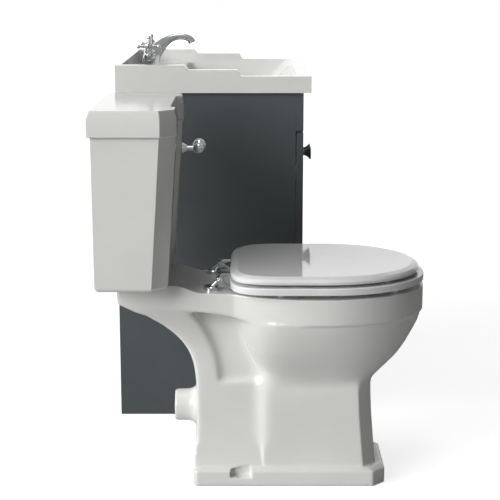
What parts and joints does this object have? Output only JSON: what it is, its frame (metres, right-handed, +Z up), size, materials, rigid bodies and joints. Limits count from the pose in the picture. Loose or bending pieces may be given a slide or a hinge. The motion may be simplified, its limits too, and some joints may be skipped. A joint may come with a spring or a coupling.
{
  "type": "combined vanity and toilet unit",
  "caption": "Close-coupled toilet with hinged seat and lid, beside a shaker-door cabinet that carries a ceramic basin with stepped rims and a crosshead tap.",
  "frame": {"origin": "on the floor, under the middle of the whole unit's footprint", "axes": "+X to the right along the wall seen from the front, from the toilet to the cabinet; +Y from the front back to the wall; +Z up"},
  "size_m": [1.169, 0.6916, 0.9191],
  "materials": {
    "glazed ceramic": "gloss white glaze on vitreous china",
    "white plastic": "gloss white moulded plastic",
    "chrome": "polished chrome plate",
    "brass": "plain machined brass",
    "valve plastic": "moulded plastic",
    "rubber": "soft rubber",
    "steel": "plated steel",
    "lacquered board": "satin anthracite lacquer on board"
  },
  "bodies": {
    "unit": {"pan": "glazed ceramic", "cistern": "glazed ceramic", "coupling_gasket": "rubber", "coupling_bolts": "brass", "coupling_nuts": "brass", "flush_valve_body": "valve plastic", "flush_valve_nut": "valve plastic", "fill_valve": "valve plastic", "fill_valve_nut": "valve plastic", "lever_rose": "chrome", "lever_nut": "brass", "hinge_bases": "chrome", "hinge_pins": "chrome", "hinge_bolts": "steel", "side_left": "lacquered board", "side_right": "lacquered board", "bottom_panel": "lacquered board", "kick_board": "lacquered board", "back_rails": "lacquered board", "door_rail": "lacquered board", "fascia": "lacquered board", "shelf": "lacquered board", "shelf_pins": "steel", "hinge_arms": "steel", "basin": "glazed ceramic", "overflow_ring": "chrome", "waste_body": "chrome", "waste_nut": "brass", "bottle_trap": "chrome", "trap_cup": "chrome", "trap_pipe": "chrome", "spout": "chrome", "tap_valves": "chrome", "tap_nuts": "brass", "tap_links": "brass", "tap_tails": "brass"},
    "seat_ring": {"seat": "white plastic", "seat_arms": "chrome", "seat_buffers": "white plastic"},
    "seat_cover": {"seat_lid": "white plastic", "lid_arms": "chrome", "lid_buffers": "white plastic"},
    "flush_handle": {"flush_lever": "chrome", "lever_crank": "brass"},
    "valve_plunger": {"flush_plunger": "valve plastic", "flush_seal": "rubber", "lift_link": "brass"},
    "float": {"float_cup": "valve plastic"},
    "cistern_top": {"cistern_lid": "glazed ceramic"},
    "left_leaf": {"door_left": "lacquered board", "knob_left": "chrome", "hinge_cups_left": "steel"},
    "right_leaf": {"door_right": "lacquered board", "knob_right": "chrome", "hinge_cups_right": "steel"},
    "hot_crosshead": {"hot_handle": "chrome"},
    "cold_crosshead": {"cold_handle": "chrome"},
    "plug": {"waste_plug": "chrome"}
  },
  "joints": [
    {"name": "seat_hinge", "type": "hinge", "parent": "unit", "child": "seat_ring", "pos_m": [-0.3865, 0.08775, 0.45], "axis": [1, 0, 0], "range_deg": [-91, 0]},
    {"name": "lid_hinge", "type": "hinge", "parent": "seat_ring", "child": "seat_cover", "pos_m": [-0.3865, 0.08775, 0.45], "axis": [-1, 0, 0], "range_deg": [0, 91]},
    {"name": "flush_lever_turn", "type": "hinge", "parent": "unit", "child": "flush_handle", "pos_m": [-0.2515, 0.19575, 0.696], "axis": [0, 1, 0], "range_deg": [0, 20], "stiffness_Nm_per_rad": 1.2, "springref_deg": -17.19},
    {"name": "flush_valve_lift", "type": "slide", "parent": "unit", "child": "valve_plunger", "axis": [0, 0, 1], "range_m": [0, 0.034]},
    {"name": "float_rise", "type": "slide", "parent": "unit", "child": "float", "axis": [0, 0, 1], "range_m": [0, 0.055]},
    {"name": "cistern_lid_lift", "type": "slide", "parent": "unit", "child": "cistern_top", "axis": [0, 0, 1], "range_m": [0, 0.1]},
    {"name": "left_door_swing", "type": "hinge", "parent": "unit", "child": "left_leaf", "pos_m": [-0.0085, -0.09625, 0.4], "axis": [0, 0, -1], "range_deg": [0, 105]},
    {"name": "right_door_swing", "type": "hinge", "parent": "unit", "child": "right_leaf", "pos_m": [0.5675, -0.09625, 0.4], "axis": [0, 0, 1], "range_deg": [0, 105]},
    {"name": "hot_handle_turn", "type": "hinge", "parent": "unit", "child": "hot_crosshead", "pos_m": [0.21763, 0.27975, 0.88973], "axis": [-0.8141, 0, 0.5807], "range_deg": [0, 90]},
    {"name": "cold_handle_turn", "type": "hinge", "parent": "unit", "child": "cold_crosshead", "pos_m": [0.34137, 0.27975, 0.88973], "axis": [-0.8141, 0, -0.5807], "range_deg": [0, 90]},
    {"name": "waste_plug_lift", "type": "slide", "parent": "unit", "child": "plug", "axis": [0, 0, 1], "range_m": [0, 0.008]}
  ],
  "couplings": [
    {"joint": "flush_valve_lift", "follows": "flush_lever_turn", "m_per_rad": 0.0935}
  ]
}
